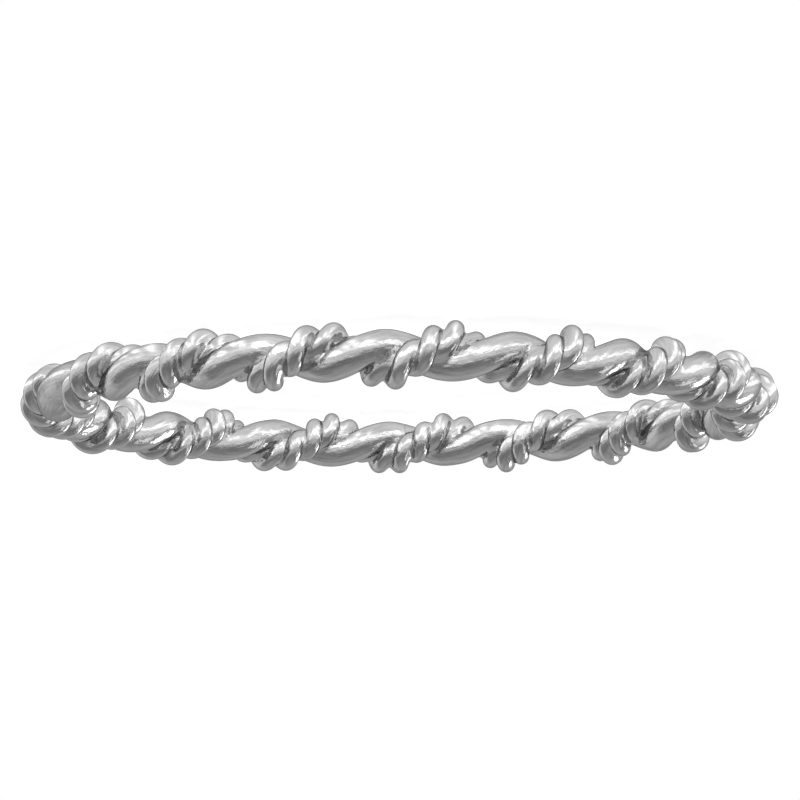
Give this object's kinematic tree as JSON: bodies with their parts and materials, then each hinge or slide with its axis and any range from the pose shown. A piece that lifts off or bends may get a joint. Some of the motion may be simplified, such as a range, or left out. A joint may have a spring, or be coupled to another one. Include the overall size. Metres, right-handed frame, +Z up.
{
  "type": "rope twist ring",
  "caption": "Slim finger ring laid like a rope: a thick smooth round wire and a finely twisted pair of thin wires wind round each other all the way round.",
  "frame": {"origin": "on the floor, below the middle of the finger hole of the ring as it lies on its side", "axes": "+Z up, along the finger hole; -Y towards the side that is nearest in the picture's view"},
  "size_m": [0.0209, 0.0209, 0.0018],
  "materials": {
    "silver": "polished"
  },
  "bodies": {
    "root": {"thick_wire": "silver", "thin_wire_a": "silver", "thin_wire_b": "silver"}
  },
  "joints": []
}
